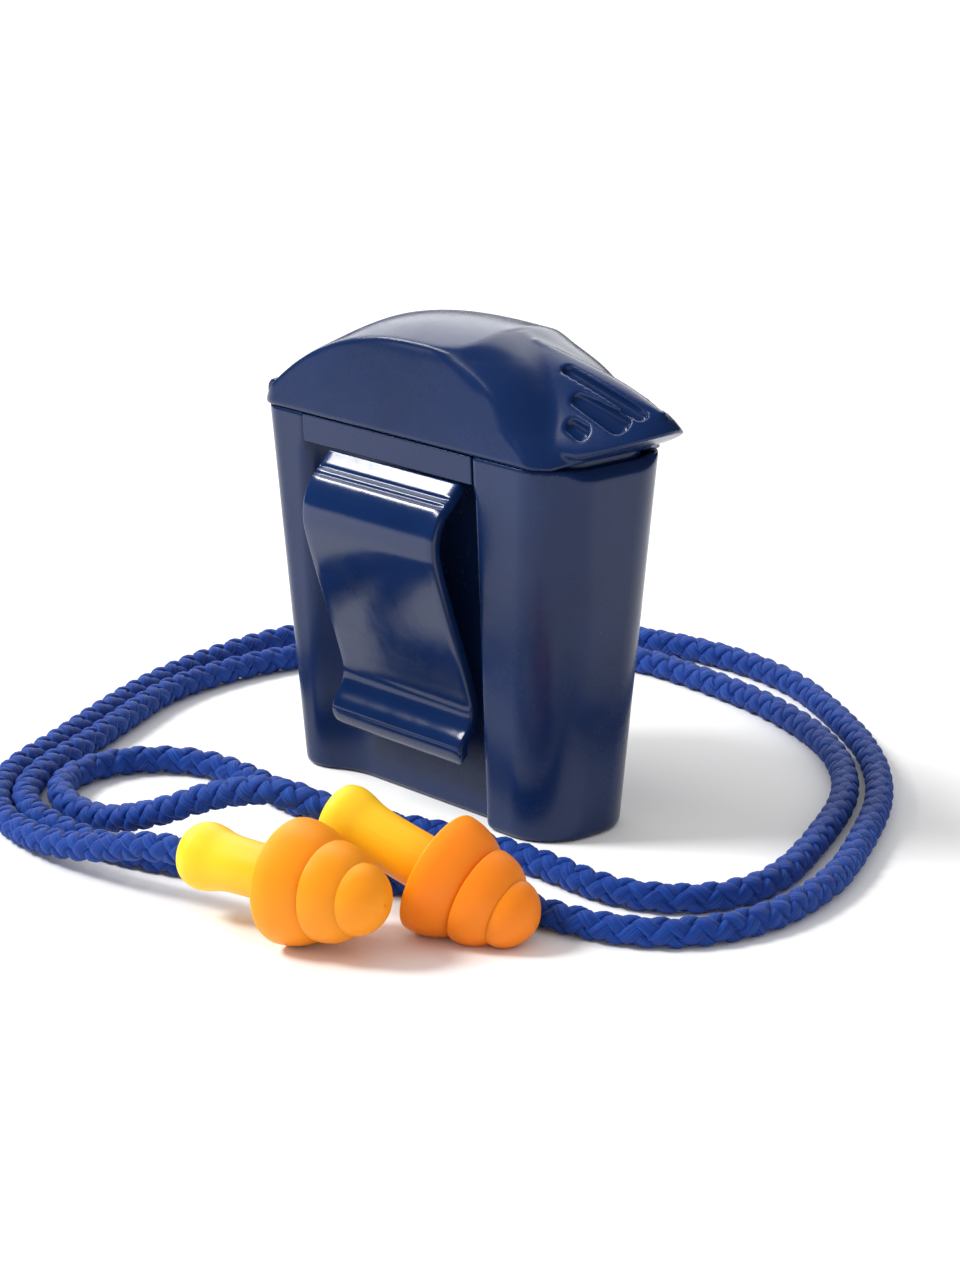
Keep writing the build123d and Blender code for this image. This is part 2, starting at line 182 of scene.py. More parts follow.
def mesh_object(name, verts, faces):
    """Smooth-shaded object from points in metres."""
    mesh = bpy.data.meshes.new(name)
    mesh.from_pydata([tuple(v) for v in verts], [], faces)
    mesh.validate()
    mesh.update()
    mesh.polygons.foreach_set("use_smooth", [True] * len(mesh.polygons))
    obj = bpy.data.objects.new(name, mesh)
    bpy.context.collection.objects.link(obj)
    return obj


def recalc(obj):
    """Turns every face's normal outward."""
    bm = bmesh.new()
    bm.from_mesh(obj.data)
    bmesh.ops.recalc_face_normals(bm, faces=bm.faces)
    bm.to_mesh(obj.data)
    bm.free()


def unit_rows(vectors):
    return vectors / np.linalg.norm(vectors, axis=1)[:, None]


def strand_frames(points, along, side, up, family, strand):
    """Centre line of one strand with its across and outward directions; family is its way round."""
    omega = 2 * math.pi / BRAID_PITCH
    # no strand is pulled quite evenly
    slack = 0.1 * np.sin(along * 0.31 + strand * 2.1) + 0.07 * np.sin(along * 0.83 + strand * 4.3)
    angle = family * (omega * along + slack) + strand * 2 * math.pi / BRAID_STRANDS
    radius = BRAID_R + family * BRAID_WEAVE * np.cos(BRAID_STRANDS * omega * along)
    out = side * np.cos(angle)[:, None] + up * np.sin(angle)[:, None]
    centre = points + out * radius[:, None]
    heading = unit_rows(np.gradient(centre, axis=0))
    across = unit_rows(np.cross(heading, out))
    return centre, across, np.cross(across, heading)


def strand_lines(centre, across, normal):
    """Lines of points along a strand, one for each side of its flattened section."""
    lines = []
    for k in range(STRAND_SIDES):
        turn = 2 * math.pi * k / STRAND_SIDES
        c, s = math.cos(turn), math.sin(turn)
        wide = STRAND_HALF_W * math.copysign(abs(c) ** 0.8, c)
        thick = STRAND_HALF_T * math.copysign(abs(s) ** 0.9, s)
        lines.append(centre + across * wide + normal * thick)
    return lines


def strand_faces(start, rings):
    """Side faces and two end caps of the strand whose first point is numbered start."""
    faces = []
    for k in range(STRAND_SIDES):
        a = start + k * rings
        b = start + (k + 1) % STRAND_SIDES * rings
        faces.extend((a + i, a + i + 1, b + i + 1, b + i) for i in range(rings - 1))
    faces.append([start + k * rings for k in range(STRAND_SIDES)])
    faces.append([start + k * rings + rings - 1 for k in reversed(range(STRAND_SIDES))])
    return faces


def add_thread(cord, along):
    """Coordinates for the yarn's pattern, round each strand and along it."""
    rings = len(along)
    lines = 2 * BRAID_STRANDS * STRAND_SIDES
    data = np.zeros((lines, rings, 3), dtype=np.float32)
    for line in range(lines):
        turn = 2 * math.pi * (line % STRAND_SIDES) / STRAND_SIDES
        data[line, :, 0] = math.cos(turn)
        data[line, :, 1] = along * 0.1
        data[line, :, 2] = line // STRAND_SIDES * 1.7 + math.sin(turn)
    thread = cord.data.attributes.new("thread", "FLOAT_VECTOR", "POINT")
    thread.data.foreach_set("vector", data.ravel())


def build_cord(route):
    """Two families of strands that wind opposite ways and pass over and under each other."""
    points, along = even_points(route / MM, 0.3)
    # the lowest strands are lifted to rest on the floor
    points = smooth_line(points, 3) + np.array((0, 0, 0.06))
    side, up = carried_frames(points)
    lines, faces = [], []
    for family in (1, -1):
        for strand in range(BRAID_STRANDS):
            faces += strand_faces(len(lines) * len(points), len(points))
            lines += strand_lines(*strand_frames(points, along, side, up, family, strand))
    cord = mesh_object("braided_cord", np.concatenate(lines) * MM, faces)
    add_thread(cord, along)
    recalc(cord)
    return cord


route = route_line()
cord = build_cord(route)
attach(cord, "corded_plugs")
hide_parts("cord")


# --- smooth pieces from distance fields -------------------------------------------
def smax(a, b, k):
    """Larger of two fields, blended over the width k."""
    h = np.maximum(k - np.abs(a - b), 0) / k
    return np.maximum(a, b) + h * h * k * 0.25


def smin(a, b, k):
    """Smaller of two fields, blended over the width k."""
    return -smax(-a, -b, k)


def ease(x, low, high):
    """Smooth step from 0 at low to 1 at high."""
    t = np.clip((x - low) / (high - low), 0, 1)
    return t * t * (3 - 2 * t)


def plan_box(x, y, half_x, half_y, r_hinge, r_beak):
    """Distance to a rectangle in plan whose two ends have their own corner radii."""
    r = np.where(x < 0, r_hinge, r_beak)
    qx, qy = np.abs(x) - half_x + r, np.abs(y) - half_y + r
    return np.hypot(np.maximum(qx, 0), np.maximum(qy, 0)) + np.minimum(np.maximum(qx, qy), 0) - r


def capsule(x, y, z, a, b, ra, rb):
    """Distance to a round-ended rod from a to b whose radius runs from ra to rb."""
    ax, ay, az = a
    bx, by, bz = b
    dx, dy, dz = bx - ax, by - ay, bz - az
    share = ((x - ax) * dx + (y - ay) * dy + (z - az) * dz) / (dx * dx + dy * dy + dz * dz)
    t = np.clip(share, 0, 1)
    gap = np.sqrt((x - ax - dx * t) ** 2 + (y - ay - dy * t) ** 2 + (z - az - dz * t) ** 2)
    return gap - (ra + (rb - ra) * t)


def field_slope(points, field, step=0.01):
    """Gradient of a field at each point."""
    return np.stack([(field(points + d) - field(points - d)) / (2 * step) for d in np.eye(3) * step], 1)


def project_to_field(points, field, passes=7):
    """Moves points onto the surface where a field is zero, at most half a millimetre a pass."""
    for _ in range(passes):
        value = field(points)
        slope = field_slope(points, field)
        size = np.maximum((slope ** 2).sum(1), 0.2)
        move = -(value / size)[:, None] * slope
        length = np.linalg.norm(move, axis=1)
        move *= np.minimum(1, 0.5 / np.maximum(length, 1e-9))[:, None]
        points = points + move
    return points


def cell_points(value, grid):
    """For each grid cell, how many edges the surface crosses and the sum of those crossings."""
    total = np.zeros([n - 1 for n in value.shape])
    place = np.zeros((*total.shape, 3))
    for axis in range(3):
        for corner in range(4):
            shift = [0, 0, 0]
            shift[(axis + 1) % 3], shift[(axis + 2) % 3] = corner & 1, corner >> 1
            start = tuple(slice(d, n - 1 + d) for d, n in zip(shift, value.shape))
            shift[axis] = 1
            end = tuple(slice(d, n - 1 + d) for d, n in zip(shift, value.shape))
            v0, v1 = value[start], value[end]
            crossing = (v0 < 0) != (v1 < 0)
            share = np.where(crossing, v0 / np.where(crossing, v0 - v1, 1), 0)
            point = grid[start] + (grid[end] - grid[start]) * share[..., None]
            total += crossing
            place += np.where(crossing[..., None], point, 0)
    return total, place


def net_quads(inside, number):
    """A quad round every grid edge that the surface crosses, joining its four cells."""
    quads = []
    for axis in range(3):
        u, v = (axis + 1) % 3, (axis + 2) % 3
        first, second = [slice(None)] * 3, [slice(None)] * 3
        first[axis], second[axis] = slice(0, -1), slice(1, None)
        a, b = inside[tuple(first)], inside[tuple(second)]
        cells = np.argwhere(a != b)
        cells = cells[(cells[:, u] > 0) & (cells[:, v] > 0)]
        leaving = a[tuple(cells.T)]
        ring = []
        for du, dv in ((-1, -1), (0, -1), (0, 0), (-1, 0)):
            cell = cells.copy()
            cell[:, u] += du
            cell[:, v] += dv
            ring.append(number[tuple(cell.T)])
        ring = np.stack(ring, 1)
        ring[~leaving] = ring[~leaving][:, ::-1]
        quads.append(ring)
    return np.concatenate(quads)


def surface_net(field, low, high, step):
    """Closed mesh of quads where a field crosses zero, found on an even grid."""
    axes = [np.arange(a, b + step, step) for a, b in zip(low, high)]
    grid = np.stack(np.meshgrid(*axes, indexing="ij"), -1)
    value = field(grid.reshape(-1, 3)).reshape(grid.shape[:3])
    total, place = cell_points(value, grid)
    used = total > 0
    number = np.full(total.shape, -1)
    number[used] = np.arange(used.sum())
    return place[used] / total[used][:, None], net_quads(value < 0, number)


def relax(mesh, points, field):
    """Evens the spacing along the surface, then returns to the field."""
    edges = np.empty(len(mesh.edges) * 2, dtype=np.int64)
    mesh.edges.foreach_get("vertices", edges)
    a, b = edges.reshape(-1, 2).T
    size = len(points)
    count = np.bincount(a, minlength=size) + np.bincount(b, minlength=size)
    for _ in range(3):
        total = np.zeros_like(points)
        for k in range(3):
            total[:, k] = np.bincount(a, points[b, k], size) + np.bincount(b, points[a, k], size)
        mean = total / np.maximum(count, 1)[:, None]
        points = project_to_field(points + (mean - points) * 0.5, field, 2)
    return project_to_field(points, field, 3)


def field_piece(name, node, step, field):
    """Piece whose surface is where the field is zero, in place of one CAD node."""
    low, high = [np.array(corner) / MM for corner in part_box(node)]
    points, quads = surface_net(field, low - 2 * step, high + 6.5 * step, step)
    obj = mesh_object(name, points * MM, [tuple(int(i) for i in quad) for quad in quads])
    mesh = obj.data
    points = relax(mesh, project_to_field(points, field), field)
    mesh.vertices.foreach_set("co", (points * MM).ravel())
    mesh.update()
    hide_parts(node)
    return obj


def from_pin(x, z):
    """Distance from the hinge pin's centre line."""
    return np.hypot(x - HINGE_X, z - HINGE_Z)


def tub_half(z):
    """Half length and half width of the tapering tub at height z."""
    share = z / SEAM
    return (TUB_LONG + LONG_TAPER * share) / 2, (TUB_WIDE + WIDE_TAPER * share) / 2


def channel_floor(z):
    """Where the clip channel's floor stands in y at height z."""
    return -(4.6 + 0.7 * (z / SEAM))


def channel_field(x, y, z):
    """Negative inside the clip channel in front of the tub's wall."""
    floor_y = channel_floor(z)
    ahead = floor_y - y
    depth = tub_half(z)[1] + 1 + floor_y
    flare_left, flare_right = 3.4 / depth, 1.0 / depth
    left = ((CLIP_X - CHANNEL_HALF - ahead * flare_left) - x) / np.sqrt(1 + flare_left ** 2)
    right = (x - (CLIP_X + CHANNEL_HALF + ahead * flare_right)) / np.sqrt(1 + flare_right ** 2)
    return smax(smax(-ahead, left, 2.4), right, 0.8)


def tub_knuckles(x, y, z):
    """The tub's two hinge knuckles and the gussets that carry them."""
    web = np.maximum((x + 22.65) * -0.7725 + (z - 35.3) * -0.635, z - SEAM)
    web = np.maximum(np.maximum(web, (x + 25.93) * -0.427 + (z - 39.29) * 0.904), x + 22.2)
    barrel = from_pin(x, z) - HINGE_R
    return smax(smin(barrel, web, 0.3), np.abs(np.abs(y) - 3.55) - 1.45, 0.25)


def tub_field(p):
    x, y, z = p.T
    half_x, half_y = tub_half(z)
    channel = channel_field(x, y, z)
    body = plan_box(x, y, half_x, half_y, HINGE_CORNER, BEAK_CORNER)
    body = smax(body, -channel, 0.25 + 0.65 * ease(z, 37.2, 35.4))
    body = smax(body, -z, 0.9)
    body = smax(body, z - SEAM, 0.35)
    body = smin(body, tub_knuckles(x, y, z), 0.35)
    cavity = plan_box(x, y, half_x - TUB_WALL, half_y - TUB_WALL, 2.0, 4.4)
    cavity = smax(cavity, -(channel - 1.2), 1.2)
    cavity = smax(cavity, TUB_FLOOR - z, 1.6)
    body = smax(body, -cavity, 0.4)
    # thumb scoop under the beak
    body = smax(body, (x - 21.85 + z - SEAM) * 0.707, 0.3)
    return smax(body, PIN_R - from_pin(x, z), 0.1)


# Lid: side views of its arch and of the nose's ridge as (x, z), and how far the domed end
# and the crease before it reach at each height, as (z, x).
ARCH = [
    (-23.4, 39.6), (-21.6, 41.3), (-19.6, 43.4), (-17.0, 45.4), (-14.3, 46.9), (-11.6, 48.2),
    (-8.4, 49.2), (-4.6, 49.9), (0.6, 50.1), (5.4, 50.1), (11.0, 49.8), (16.5, 49.3),
    (21.0, 48.7), (25.0, 47.6), (28.0, 46.2), (29.8, 45.0),
]
RIDGE = [(11.4, 50.2), (17.0, 49.3), (22.0, 48.1), (27.0, 46.6), (30.4, 45.0)]
DOME_END = [
    (39.95, 23.35), (41.5, 22.9), (43.0, 22.0), (44.5, 20.6), (46.0, 18.8), (47.5, 16.6),
    (49.0, 14.2), (50.5, 11.0), (52, 7.0),
]
CREASE = [
    (39.7, 17.7), (41.4, 16.4), (43.2, 15.3), (45.0, 14.0), (46.4, 12.6), (47.5, 11.0),
    (48.2, 9.4), (49.0, 7.2),
]


def smooth_fit(points, degree):
    return np.polyfit([a for a, _ in points], [b for _, b in points], degree)


ARCH_FIT = smooth_fit(ARCH, 7)
ARCH_SLOPE = np.polyder(ARCH_FIT)
RIDGE_FIT = smooth_fit(RIDGE, 3)
DOME_FIT = smooth_fit(DOME_END, 3)
CREASE_FIT = smooth_fit(CREASE, 3)


def nose_top(x, y):
    """Height of the nose above the beak: a ridge whose sides fall away more and more steeply."""
    xc = np.clip(x, 8, 30.8)
    across = np.sqrt(y * y + 0.25) - 0.5
    return np.polyval(RIDGE_FIT, xc) - 0.42 * across - 0.105 * across ** 2


def on_nose(x, y, out):
    """Point a given height above the nose's surface."""
    return (x, y, float(nose_top(np.array(x), np.array(y))) + out)


# Finger grips on one flank, as rods to cut: a long slot, an oval and a dimple.
GRIPS = (
    (on_nose(17.0, -1.5, -0.2), on_nose(27.4, -1.45, -0.2), 0.5, 0.65),
    (on_nose(20.4, -3.35, 0.0), on_nose(26.0, -3.1, -0.2), 0.75, 1.2),
    (on_nose(21.4, -5.05, 0.0), on_nose(22.8, -5.1, 0.0), 0.75, 0.85),
)


def lid_plan(x, z):
    """Half length, half width and reach of the domed end of the lid at height z."""
    rise = np.clip((z - LID_FOOT) / 12.55, 0, 1)
    end = np.polyval(DOME_FIT, np.clip(z, 39.5, 51.0))
    end = np.where(z < LID_FOOT, LID_HALF_X, np.minimum(end, LID_HALF_X))
    half_x = np.where(x < 0, LID_HALF_X - 0.8 * rise, end)
    return half_x, LID_HALF_Y - 1.7 * rise, end


def lid_sides(x, y, z):
    """Flat front and back that end in a crease, past which the dome turns away on a large round."""
    half_x, half_y, end = lid_plan(x, z)
    drawn = np.maximum(end - np.polyval(CREASE_FIT, np.clip(z, 39.5, 49.0)), 2.5)
    turn = (drawn ** 2 + half_y ** 2) / (2 * drawn)
    dome = np.hypot(np.maximum(x - end + turn, 0), y) - turn - 0.9 * ease(z, 43.5, 40.0)
    return smax(plan_box(x, y, half_x, half_y, HINGE_CORNER, 5.0), dome, 0.25)


def lid_top(x, y, z):
    """The arch, crowned a little across its width."""
    xc = np.clip(x, -23.6, 30.2)
    crown = (1.2 - 0.029 * y * y) * ease(x, -22, -8)
    slope = np.polyval(ARCH_SLOPE, xc)
    return (z - np.polyval(ARCH_FIT, xc) - crown) / np.sqrt(1 + slope ** 2)


def lid_nose(x, y, z):
    """The ridge and its pads, out to the rounded lip of the beak."""
    plan = ((np.maximum(np.abs(x - 13.0), 0.1) / 17.3) ** 2.5 + (np.abs(y) / 7.7) ** 2.5) ** 0.4
    plan = (plan - 1) * 7.7
    under = (41.0 + np.maximum(x - 23.2, 0) * 0.27 - z) * 0.96
    pads = (z - nose_top(x, y)) * 0.72
    nose = smax(smax(plan, pads, 1.3), under, 1.2)
    return np.maximum(nose, 9.0 - x)


def lid_cavity(x, y, z, top):
    half_x, half_y, _ = lid_plan(x, z)
    corner = np.minimum(BEAK_CORNER + 0.55 * np.maximum(z - LID_FOOT, 0), half_y - 0.3)
    walls = plan_box(x, y, half_x - LID_WALL, half_y - LID_WALL, 2.0, corner - LID_WALL)
    return smax(walls, top + LID_WALL, 1.0)


def lid_skirt(x, y, z):
    """Thin wall that drops into the tub's mouth, open in front where the channel stands in."""
    outside = plan_box(x, y, 21.45, 7.05, 1.9, 4.2)
    inside = plan_box(x, y, 20.65, 6.25, 1.2, 3.4)
    skirt = np.maximum(outside, -inside)
    skirt = smax(smax(skirt, 38.15 - z, 0.4), z - 40.85, 0.2)
    gap = np.maximum(np.maximum(np.abs(x + 2.8) - 16.0, y + 3), z - 39.93)
    return np.maximum(skirt, -gap)


def lid_knuckle(x, y, z):
    """Hinge knuckle between the tub's two."""
    web = np.maximum(np.maximum(LID_FOOT - z, x + 22.2), (x + 24.55) * -0.152 + (z - 41.38) * 0.988)
    web = np.maximum(web, (x - HINGE_X) * -0.979 + (z - LID_FOOT) * 0.205)
    return smax(smin(from_pin(x, z) - HINGE_R, web, 0.2), np.abs(y) - 1.9, 0.25)


def lid_field(p):
    x, y, z = p.T
    top = lid_top(x, y, z)
    body = smax(lid_sides(x, y, z), top, 0.4 + 2.8 * ease(x, 3, 12))
    body = smin(body, lid_nose(x, y, z), 0.55)
    # the foot, which rises at the beak
    body = smax(body, LID_FOOT + 0.45 * np.maximum(x - 21.0, 0) - z, 0.3)
    body = smax(body, -lid_cavity(x, y, z, top), 0.3)
    body = smin(body, lid_skirt(x, y, z), 0.15)
    # finger grips on both flanks of the ridge, and the rib along it
    for a, b, ra, rb in GRIPS:
        body = smax(body, -capsule(x, -np.abs(y), z, a, b, ra, rb), 0.3)
    rib = capsule(x, y, z, on_nose(10.8, 0, -0.2), on_nose(28.6, 0, -0.3), 0.3, 0.45)
    body = smin(body, rib, 0.4)
    body = smin(body, lid_knuckle(x, y, z), 0.3)
    return smax(body, PIN_R + 0.05 - from_pin(x, z), 0.1)


tub = field_piece("case_tub_shell", "case_tub", 0.34, tub_field)
lid = field_piece("case_lid_shell", "case_lid", 0.26, lid_field)
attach(tub, "case")
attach(lid, "lid")


# --- belt clip ---------------------------------------------------------------------
# Outer face of the arm in side view, as (y, z) from its root down to its lip.
CLIP_OUTSIDE = [
    (-8.3, 36.64), (-9.6, 35.1), (-11.0, 33.7), (-11.9, 31.7), (-12.05, 29.6), (-11.5, 27.2),
    (-10.1, 22.8), (-8.6, 18.4), (-7.3, 14.4), (-6.8, 12.2), (-7.2, 10.5), (-8.1, 9.2),
    (-8.4, 8.2), (-8.0, 6.9), (-7.0, 6.0),
]
CLIP_T = 1.2
CLIP_HALF = 10.3
CLIP_EDGE = 0.32
LIP_CORNER = 2.4
GROOVES = (2.15, 3.1)


def catmull(points, per_run):
    """Smooth line through given points."""
    pts = np.array(points, dtype=float)
    pts = np.vstack([2 * pts[0] - pts[1], pts, 2 * pts[-1] - pts[-2]])
    out = []
    for i in range(1, len(pts) - 2):
        p0, p1, p2, p3 = pts[i - 1:i + 3]
        for t in np.linspace(0, 1, per_run, endpoint=False):
            square = (2 * p0 - 5 * p1 + 4 * p2 - p3) * t ** 2
            cube = (3 * p1 - p0 - 3 * p2 + p3) * t ** 3
            out.append(0.5 * (2 * p1 + (p2 - p0) * t + square + cube))
    out.append(pts[-2])
    return np.array(out)


def quarter_round(distance, radius):
    """Share of full width that a rounded end has reached at a distance from it."""
    return math.sqrt(max(0.0, 1 - (1 - min(distance / radius, 1)) ** 2))


def clip_section(half, thick, edge, steps):
    """Rounded-rectangle section as (across, through) pairs, outer face at through < 0."""
    points = [(u, -thick / 2) for u in np.linspace(-half + edge, half - edge, steps)]
    for a in np.linspace(-math.pi / 2, math.pi / 2, 9)[1:-1]:
        u = half - edge + edge * math.cos(a)
        v = math.copysign(max(thick / 2 - edge, 0), a) + edge * math.sin(a) if a else 0
        points.append((u, v))
    points += [(u, thick / 2) for u in np.linspace(half - edge, -half + edge, steps)]
    for a in np.linspace(math.pi / 2, 3 * math.pi / 2, 9)[1:-1]:
        side = math.sin(a)
        v = math.copysign(max(thick / 2 - edge, 0), side) + edge * side if abs(side) > 1e-6 else 0
        points.append((-half + edge + edge * math.cos(a), v))
    return points


def tube_faces(rings, around):
    """Side faces and two end caps of a closed tube stored ring by ring."""
    faces = []
    for i in range(rings - 1):
        for k in range(around):
            a, b = i * around + k, i * around + (k + 1) % around
            faces.append((a, b, b + around, a + around))
    faces.append(list(range(around)))
    faces.append([rings * around - around + k for k in reversed(range(around))])
    return faces


def build_clip_arm():
    """Sprung arm swept down its S-shaped side view, with rounded edges and two fine grooves."""
    line = catmull(CLIP_OUTSIDE, 14)
    run = np.concatenate([[0], np.cumsum(np.linalg.norm(np.diff(line, axis=0), axis=1))])
    at = np.linspace(0, run[-1], 190)
    line = np.stack([np.interp(at, run, line[:, k]) for k in range(2)], 1)
    tangent = unit_rows(np.gradient(line, axis=0))
    inward = np.stack([-tangent[:, 1], tangent[:, 0]], 1)
    verts = []
    for (y, z), (ny, nz), s in zip(line, inward, at):
        left = run[-1] - s
        half = CLIP_HALF - LIP_CORNER * (1 - quarter_round(left, LIP_CORNER))
        groove = 0.16 * sum(math.exp(-((s - place) / 0.16) ** 2) for place in GROOVES)
        ends = min(1, quarter_round(s, 0.12) + 1e-3, quarter_round(left, 0.45) + 1e-3)
        thick = CLIP_T * ends
        outline = clip_section(half, thick, min(CLIP_EDGE, thick / 2), 24)
        for u, v in outline:
            dent = groove if v < 0 and abs(u) < half - 0.05 else 0
            depth = CLIP_T / 2 + v + dent
            verts.append((CLIP_X + u, y + ny * depth, z + nz * depth))
    faces = tube_faces(len(at), len(outline))
    arm = mesh_object("belt_clip_arm", np.array(verts) * MM, faces)
    recalc(arm)
    return arm


arm = build_clip_arm()
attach(arm, "clip")
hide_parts("clip_arm")


def build_plate():
    """Mounting plate, flush with the wall, its corners rounded by a bevel."""
    corners = []
    for z in (36.7, 39.7):
        back_y, front_y = channel_floor(z), -tub_half(z)[1]
        corners += [(CLIP_X - 11.5, back_y, z), (CLIP_X + 11.5, back_y, z)]
        corners += [(CLIP_X + 12.2, front_y, z), (CLIP_X - 14.2, front_y, z)]
    faces = [(3, 2, 1, 0), (4, 5, 6, 7), (0, 1, 5, 4), (1, 2, 6, 5), (2, 3, 7, 6), (3, 0, 4, 7)]
    plate = mesh_object("belt_clip_plate", np.array(corners) * MM, faces)
    recalc(plate)
    bevel = plate.modifiers.new("edges", "BEVEL")
    bevel.width = 0.16 * MM
    bevel.segments = 4
    bevel.harden_normals = True
    return plate


plate = build_plate()
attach(plate, "case")
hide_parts("clip_plate")


# --- ear plugs ---------------------------------------------------------------------
def flange(start, radius, end, neck, skirt):
    """One soft flange: a hollow skirt behind the rim and a full, domed front."""
    back = [
        (start + skirt, neck), (start + skirt * 0.75, neck + (radius - neck) * 0.5),
        (start + 0.25, radius - 0.75), (start - 0.05, radius - 0.4), (start, radius - 0.12),
        (start + 0.12, radius - 0.01),
    ]
    front = []
    for t in np.linspace(0.06, 1, 14):
        bulge = (1 - t ** 2.1) ** 0.62
        front.append((start + 0.15 + (end - start) * t, neck + (radius - neck) * bulge))
    return catmull(back + front, 4)


def plug_profile():
    """Half outline as (distance, radius), from the bottom of the cord's bore out to the tip."""
    (s3, r3), (s2, r2), (s1, r1) = RIMS
    bore = [
        (BORE_DEPTH, 0.001), (BORE_DEPTH, 1.0), (BORE_DEPTH - 0.3, BORE_R), (3.0, BORE_R),
        (0.35, BORE_R), (0.1, BORE_R + 0.08),
    ]
    stem = [
        (0.0, 1.85), (0.02, 2.4), (0.45, 3.0), (1.5, 3.33), (2.7, 3.22), (4.3, 2.86),
        (6.4, 2.72), (9.5, 2.72), (12.2, 2.74), (s3 + 0.9, 2.78),
    ]
    large = flange(s3, r3, s2 + 0.35, 3.1, 1.15)
    middle = flange(s2, r2, s1 + 0.3, 2.35, 0.45)
    small = flange(s1, r1, PLUG_LENGTH - 0.15, 0.0, 0.4)[3:]
    small = small[small[:, 1] > 2.0 - 2.0 * (small[:, 0] - s1)]
    return np.vstack([bore, catmull(stem, 8), large, middle, small, [(PLUG_LENGTH, 0.001)]])


def plug_wobble(r, angle, phases):
    """Radius at an angle: soft flanges are never quite round, and the mould leaves a line each side."""
    oval = 0.006 * math.sin(2 * angle + phases[0]) * min(r / 6, 1)
    wave = 1 + oval + 0.003 * math.sin(3 * angle + phases[1])
    flash = 0.03 * math.exp(-(math.sin(angle + phases[2]) / 0.035) ** 2) if r > 2.6 else 0
    return r * wave + flash


def build_plug(name, plug, seed):
    phases = np.random.default_rng(seed).uniform(0, 2 * math.pi, 3)
    heading = math.radians(plug[1])
    axis = np.array(plug_direction(plug))
    side = np.array((-math.sin(heading), math.cos(heading), 0.0))
    up = np.cross(axis, side)
    profile = plug_profile()
    turns = 112
    verts = []
    for s, r in profile:
        for k in range(turns):
            a = 2 * math.pi * k / turns
            out = (side * math.cos(a) + up * math.sin(a)) * plug_wobble(r, a, phases)
            verts.append(np.array(plug[0]) + axis * s + out)
    obj = mesh_object(name, np.array(verts) * MM, tube_faces(len(profile), turns))
    length = obj.data.attributes.new("along", "FLOAT", "POINT")
    length.data.foreach_set("value", np.repeat(profile[:, 0] / PLUG_LENGTH, turns).astype(np.float32))
    recalc(obj)
    return obj


plug_left = build_plug("ear_plug_left", LEFT_PLUG, 7)
plug_right = build_plug("ear_plug_right", RIGHT_PLUG, 11)
for plug, node in ((plug_left, "plug_left"), (plug_right, "plug_right")):
    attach(plug, "corded_plugs")
    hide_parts(node)


# --- materials ---------------------------------------------------------------------
def linear(c):
    c /= 255
    return c / 12.92 if c <= 0.04045 else ((c + 0.055) / 1.055) ** 2.4


def srgb(r, g, b):
    """Shader colour of a screen colour given in 0 to 255."""
    return (linear(r), linear(g), linear(b), 1)


class Nodes:
    """A material's node tree with short ways to add and join nodes."""

    def __init__(self, name):
        self.material = bpy.data.materials.new(name)
        self.material.use_nodes = True
        self.tree = self.material.node_tree
        self.shader = self.tree.nodes["Principled BSDF"]

    def add(self, kind, **values):
        node = self.tree.nodes.new(kind)
        for key, value in values.items():
            if key in node.inputs:
                node.inputs[key].default_value = value
            else:
                setattr(node, key, value)
        return node

    def link(self, source, socket, target, into):
        self.tree.links.new(source.outputs[socket], target.inputs[into])

    def ramp(self, source, socket, stops):
        node = self.add("ShaderNodeValToRGB")
        self.link(source, socket, node, "Fac")
        ramp = node.color_ramp
        while len(ramp.elements) < len(stops):
            ramp.elements.new(0.5)
        for element, (place, colour) in zip(ramp.elements, stops):
            element.position = place
            element.color = colour
        return node

    def bump(self, source, socket, strength, distance, under=None):
        node = self.add("ShaderNodeBump", Strength=strength, Distance=distance)
        self.link(source, socket, node, "Height")
        if under:
            self.link(under, "Normal", node, "Normal")
        return node


def grey(v):
    return (v, v, v, 1)


def navy_plastic(name, low, high, shine):
    """Moulded navy plastic whose roughness runs from low to high in faint smudges."""
    m = Nodes(name)
    place = m.add("ShaderNodeTexCoord")
    fine = m.add("ShaderNodeTexNoise", Scale=900.0, Detail=3.0)
    broad = m.add("ShaderNodeTexNoise", Scale=60.0, Detail=4.0, Roughness=0.55)
    smudge = m.add("ShaderNodeTexNoise", Scale=210.0, Detail=6.0, Roughness=0.65)
    for node in (fine, broad, smudge):
        m.link(place, "Object", node, "Vector")
    tint = m.ramp(broad, "Fac", [(0.3, srgb(12, 32, 69)), (0.7, srgb(17, 39, 82))])
    m.link(tint, "Color", m.shader, "Base Color")
    rough = m.ramp(smudge, "Fac", [(0.3, grey(low)), (0.75, grey(high))])
    m.link(rough, "Color", m.shader, "Roughness")
    skin = m.bump(fine, "Fac", 0.08, 0.00006)
    wavy = m.bump(broad, "Fac", 0.16, 0.0006, skin)
    m.link(wavy, "Normal", m.shader, "Normal")
    m.shader.inputs["Specular IOR Level"].default_value = shine
    return m.material


